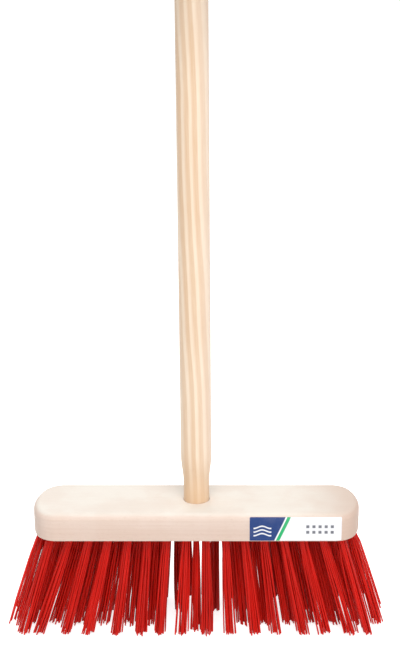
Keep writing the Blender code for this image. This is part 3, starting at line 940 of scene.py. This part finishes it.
def screw_shape(clearance=0.0):
    """The countersunk screw, or with a clearance the hole for it, from the back face towards the tenon."""
    head = (SCREW_HIGH.z - SCREW_LOW.z) / 2 + clearance
    shank = SCREW_SHANK_RADIUS + clearance
    stations = [(head, HALF_WIDTH + CUT_OVERRUN)] if clearance else []
    stations += [(head, SCREW_HIGH.y - clearance / 2), (shank, SCREW_HIGH.y - SCREW_HEAD_DEPTH),
                 (shank, SCREW_LOW.y + SCREW_POINT - clearance),
                 (shank * SCREW_POINT_SHARE, SCREW_LOW.y - clearance)]
    return turned(stations, SCREW_SIDES, centre=(0, 0, SCREW_Z), axis=1, turn=(math.pi / 2, 0, 0))


class BROOM_OT_screw(bpy.types.Operator):
    """Model the countersunk screw with its cross recess"""

    bl_idname = "broom.screw"
    bl_label = "Screw"

    def recess(self, turn):
        """One arm of the cross, narrower at its foot."""
        centre = (0, SCREW_HIGH.y, SCREW_Z)
        arm = new_primitive(bpy.ops.mesh.primitive_cube_add, size=1, location=centre)
        start_editing(arm)
        resize((RECESS_SPAN, 2 * RECESS_DEPTH, RECESS_WIDTH), centre)
        pick('FACE', lambda face: face.normal.y < -FACING)
        resize(RECESS_FOOT, centre)
        bpy.ops.mesh.select_all(action='SELECT')
        bpy.ops.transform.rotate(value=turn, orient_axis='Y', center_override=centre)
        stop_editing()
        return arm

    def execute(self, context):
        screw = screw_shape()
        for turn in RECESS_TURNS:
            cut_out(screw, [self.recess(turn)])
        shade(screw)
        finish_piece(screw, "countersunk_screw", ["handle_screw"],
                     steel_material(context.scene.broom_screw))
        return {'FINISHED'}


class BROOM_OT_label(bpy.types.Operator):
    """Model the paper label: a sheet laid onto the block's front, its top rounding and its round corner"""

    bl_idname = "broom.label"
    bl_label = "Label"

    def lay_print(self, label, fillet_z, radius):
        """Writes how far each corner of the paper is from its lower left, along and up the sheet."""
        layer = label.data.uv_layers.new(name="label_print")
        for loop in label.data.loops:
            place = label.data.vertices[loop.vertex_index].co
            up = place.z - LABEL_BOTTOM
            if place.z > fillet_z:
                angle = math.asin(min(1, (place.z - fillet_z) / radius))
                up = fillet_z - LABEL_BOTTOM + radius * angle
            layer.data[loop.index].uv = (place.x - LABEL_LEFT, up)

    def execute(self, context):
        settings = context.scene.broom_label
        radius = context.scene.broom_head.top_fillet
        fillet_z = HEAD_TOP_Z - radius
        top = fillet_z + radius * math.sin(settings.wrap_angle)
        middle = ((LABEL_LEFT + LABEL_RIGHT) / 2, -HALF_WIDTH - LABEL_STAND_OFF, (LABEL_BOTTOM + top) / 2)
        label = new_primitive(bpy.ops.mesh.primitive_grid_add, size=1, x_subdivisions=LABEL_COLUMNS,
                              y_subdivisions=LABEL_ROWS, location=middle, rotation=(math.pi / 2, 0, 0))
        start_editing(label)
        resize((LABEL_RIGHT - LABEL_LEFT, 1, top - LABEL_BOTTOM), middle)
        pick('VERT', lambda vert: len(vert.link_edges) == 2)
        bpy.ops.mesh.bevel(offset=settings.corner, offset_type='OFFSET', segments=LABEL_CORNER_STEPS,
                           affect='VERTICES', clamp_overlap=False)
        stop_editing()
        apply_place(label)
        apply_modifier(label, 'SHRINKWRAP', target=bpy.data.objects["beech_head"], wrap_method='PROJECT',
                       use_project_y=True, use_positive_direction=True, use_negative_direction=False,
                       wrap_mode='ABOVE_SURFACE', offset=LABEL_LIFT)
        self.lay_print(label, fillet_z, radius)
        apply_modifier(label, 'SOLIDIFY', thickness=settings.thickness, offset=1.0, use_even_offset=True)
        shade(label)
        finish_piece(label, "paper_label", ["label"], label_material(settings))
        return {'FINISHED'}


class BROOM_OT_bristles(bpy.types.Operator):
    """Model one bristle, then bend a copy of it for each strand and join each tuft's strands"""

    bl_idname = "broom.bristles"
    bl_label = "Bristles"

    def strand(self):
        """A round strand of unit radius and length, hung from Z = 0, in even rings with a crowned tip."""
        strand = new_primitive(bpy.ops.mesh.primitive_cylinder_add, vertices=STRAND_SIDES, radius=1, depth=1,
                               location=(0, 0, -0.5))
        apply_place(strand)
        start_editing(strand)
        pick('EDGE', lambda edge: abs(edge.verts[0].co.z - edge.verts[1].co.z) > NEAR)
        bpy.ops.mesh.subdivide(number_cuts=STRAND_CUTS)
        pick('FACE', lambda face: face.normal.z < -FACING)
        extrude((0, 0, 0))
        resize((TIP_CROWN, TIP_CROWN, 1), (0, 0, -1))
        stop_editing()
        shade(strand, angle=STRAND_SHARP_ANGLE)
        return strand

    def bend(self, base, place, in_tuft, at_tip, tuft_short, settings, draw):
        """The template's points carried onto one strand's own line, and how far along it each lies."""
        along = (-base[:, 2:] - ROOT_SHARE) / (1 - ROOT_SHARE)
        short = (settings.uneven * draw.random() ** UNEVEN_POWER + tuft_short) / UNDERSIDE_Z
        down = np.clip(along, 0, None) * (1 - short)
        buried = np.clip(along, None, 0) * STRAND_IN_HOLE * (1 - ROOT_SHARE) / ROOT_SHARE
        opened = down ** (INNER_OPENING_POWER if place.inner else OPENING_POWER)
        wander = place.side * draw.gauss(0, settings.wave) + place.back * draw.gauss(0, settings.wave)
        phase, turns = draw.uniform(0, math.tau), draw.uniform(*RIPPLE_TURNS)
        ripple = np.sin(phase + math.tau * turns * down) - math.sin(phase)
        radius = settings.diameter / 2 * draw.uniform(*THICKNESSES)
        ring = place.side * base[:, :1] + place.back * base[:, 1:2]
        line = (place.root + place.to_ground * down + place.direction * buried
                + place.sway * down ** SWAY_POWER + place.aslant * down ** ASLANT_POWER
                + in_tuft * (1 - opened) + at_tip * opened + wander * ripple * down)
        cut_turn, cut_slope = draw.uniform(0, math.tau), draw.uniform(*CUT_SLOPES)
        cut = cut_slope * radius * (1 + base[:, :1] * math.cos(cut_turn) + base[:, 1:2] * math.sin(cut_turn))
        points = line + ring * radius - place.direction * cut * (base[:, 2:] < -1 + NEAR)
        points[:, 2] = np.maximum(points[:, 2], 0.0)
        return points.astype(np.float32).ravel(), np.clip(along, 0, 1).astype(np.float32).ravel()

    def tuft(self, template, base, place, settings, draw):
        """All strands of one tuft, each a bent copy of the template."""
        rings, tip_radius = STRAND_RINGS, settings.inner_tip_radius if place.inner else settings.tip_radius
        if place.middle:
            rings, tip_radius = MIDDLE_STRAND_RINGS, settings.middle_tip_radius
        opening = tip_radius * draw.uniform(*OPENINGS) / rings[-1][1]
        # Inner rows painted lighter and outer rows painted darker, against the shade between rows
        tuft_tone = draw.uniform(*(INNER_PAINTED_LIGHT_TONES if place.inner else OUTER_PAINTED_SHADE_TONES))
        tuft_short = TIP_ARC * (place.x / OUTER_TUFT_X) ** 2
        if place.y > 0:
            tuft_short += settings.uneven / 2 * draw.random()
        strands = []
        for count, ring_radius in rings:
            turn = draw.uniform(0, math.tau)
            for number in range(count):
                angle = turn + math.tau * number / count
                around = np.array((math.cos(angle), math.sin(angle), 0)) * ring_radius
                reach = settings.stray_reach if draw.random() < settings.stray_share else settings.looseness
                leaving = np.array((draw.uniform(-1, 1), draw.uniform(-1, 1) * STRAY_DEPTH, 0)) * reach
                in_tuft = place.side * around[0] + place.back * around[1]
                copy = template.copy()
                copy.data = template.data.copy()
                bpy.context.collection.objects.link(copy)
                points, alongs = self.bend(base, place, in_tuft, around * opening + leaving, tuft_short,
                                           settings, draw)
                copy.data.vertices.foreach_set("co", points)
                tone = tuft_tone + draw.random() ** TONE_POWER * STRAND_TONES
                for name, values in (("strand_tone", np.full(len(alongs), tone, np.float32)),
                                     ("strand_along", alongs)):
                    copy.data.attributes.new(name, 'FLOAT', 'POINT').data.foreach_set("value", values)
                strands.append(copy)
        return strands

    def execute(self, context):
        settings = context.scene.broom_bristles
        draw = random.Random(settings.seed)
        material = bristle_material(settings)
        template = self.strand()
        base = np.array([tuple(vertex.co) for vertex in template.data.vertices])
        strands = {}
        for place in tuft_places():
            strands.setdefault(place.node, []).extend(self.tuft(template, base, place, settings, draw))
        for node, joined in strands.items():
            finish_piece(join(joined), node.replace("tuft", "bristles"), [node], material)
        bpy.data.objects.remove(template, do_unlink=True)
        return {'FINISHED'}


class BROOM_OT_stage(bpy.types.Operator):
    """Lay the pale floor, hang the soft lamps and set up the photograph's camera"""

    bl_idname = "broom.stage"
    bl_label = "Stage"

    def floor_material(self, settings):
        """Pale floor that the camera sees as white where no shadow falls, and not at all from below."""
        material, tree = new_material("pale_floor", specular=0.0)
        shader = tree.nodes["Principled BSDF"]
        shader.inputs["Roughness"].default_value = FLOOR_ROUGHNESS
        patches = use_group(tree, "handling", {"Vector": object_vector(tree), "Scale": 1.5})["Patches"]
        colour = layered(tree, settings.floor, (product(tree, patches, FLOOR_PATCH_SHARE), FLOOR_PATCH))
        tree.links.new(colour, shader.inputs["Base Color"])
        camera_ray, seen = seen_rays(tree)
        shader.inputs["Emission Color"].default_value = (1, 1, 1, 1)
        tree.links.new(product(tree, seen, settings.floor_glow), shader.inputs["Emission Strength"])
        clear = tree.nodes.new('ShaderNodeBsdfTransparent').outputs[0]
        below = tree.nodes.new('ShaderNodeNewGeometry').outputs["Backfacing"]
        mix = add_node(tree, 'ShaderNodeMixShader',
                       {0: product(tree, below, camera_ray), 1: shader.outputs[0], 2: clear})
        tree.links.new(mix.outputs[0], tree.nodes["Material Output"].inputs["Surface"])
        return material

    def floor(self, settings):
        """A wide floor whose rim lies far off."""
        floor = new_primitive(bpy.ops.mesh.primitive_circle_add, vertices=FLOOR_SIDES, radius=FLOOR_RADIUS,
                              fill_type='NGON')
        start_editing(floor)
        bpy.ops.mesh.inset(thickness=FLOOR_RIM)
        pick('EDGE', lambda edge: len(edge.link_faces) == 1)
        extrude((0, 0, 0))
        resize((FLOOR_SPREAD, FLOOR_SPREAD, 1), (0, 0, 0))
        stop_editing()
        floor.name = "floor"
        floor.data.materials.append(self.floor_material(settings))
        deselect_all()

    def lamp(self, name, place, width, power):
        """A square soft lamp that faces the target."""
        aim = (LAMP_TARGET - Vector(place)).to_track_quat('-Z', 'Y').to_euler()
        bpy.ops.object.light_add(type='AREA', location=place, rotation=aim)
        lamp = bpy.context.object
        lamp.name = name
        lamp.data.size = width
        lamp.data.energy = power

    def sky(self, strength):
        """Even white light from all round, and plain white behind everything."""
        world = bpy.data.worlds.new("plain_sky")
        bpy.context.scene.world = world
        world.use_nodes = True
        tree = world.node_tree
        background = tree.nodes["Background"]
        background.inputs["Color"].default_value = (1, 1, 1, 1)
        seen = seen_rays(tree)[1]
        level = add_node(tree, 'ShaderNodeMapRange', {"Value": seen, "To Min": strength, "To Max": 1.0})
        tree.links.new(level.outputs["Result"], background.inputs["Strength"])

    def camera(self, context):
        """The photograph's camera, worked out from the head's outline and the handle's edges."""
        bpy.ops.object.camera_add(location=CAMERA_PLACE, rotation=(math.pi / 2 - CAMERA_PITCH, 0, 0))
        camera = bpy.context.object
        camera.name = "photo_camera"
        camera.data.sensor_width = SENSOR_WIDTH
        camera.data.sensor_fit = 'AUTO'
        camera.data.lens = FOCAL_PIXELS * SENSOR_WIDTH / PICTURE_HEIGHT
        camera.data.shift_x = -AXIS_OFFSET_PIXELS / PICTURE_HEIGHT
        camera.data.clip_start, camera.data.clip_end = CLIP_START, CLIP_END
        context.scene.camera = camera

    def execute(self, context):
        settings = context.scene.broom_stage
        self.floor(settings)
        for name, place, width in LAMPS:
            self.lamp(f"{name}_lamp", place, width, getattr(settings, name))
        self.sky(settings.sky)
        self.camera(context)
        context.scene.view_settings.view_transform = 'Standard'
        return {'FINISHED'}


OPERATORS = (BROOM_OT_head, BROOM_OT_handle, BROOM_OT_screw, BROOM_OT_label, BROOM_OT_bristles,
             BROOM_OT_stage)


class BROOM_PT_panel(bpy.types.Panel):
    """Lists the broom's pieces and their settings"""

    bl_idname = "BROOM_PT_panel"
    bl_label = "Street Broom"
    bl_space_type = 'VIEW_3D'
    bl_region_type = 'UI'
    bl_category = "Broom"

    def draw(self, context):
        for operator, (name, group) in zip(OPERATORS, SETTINGS.items()):
            box = self.layout.box()
            box.operator(operator.bl_idname)
            for prop in group.__annotations__:
                box.prop(getattr(context.scene, name), prop)


CLASSES = (*SETTINGS.values(), *OPERATORS, BROOM_PT_panel)


def register():
    """Registers the classes and gives the scene its settings."""
    for cls in CLASSES:
        bpy.utils.register_class(cls)
    for name, group in SETTINGS.items():
        setattr(bpy.types.Scene, name, PointerProperty(type=group))


def unregister():
    """Takes the settings and the classes away."""
    for name in SETTINGS:
        delattr(bpy.types.Scene, name)
    for cls in reversed(CLASSES):
        bpy.utils.unregister_class(cls)


def main():
    register()
    build_wood_group()
    build_handling_group()
    build_top_light_group()
    bpy.ops.broom.head()
    bpy.ops.broom.handle()
    bpy.ops.broom.screw()
    bpy.ops.broom.label()
    bpy.ops.broom.bristles()
    bpy.ops.broom.stage()


if __name__ == "__main__":
    main()
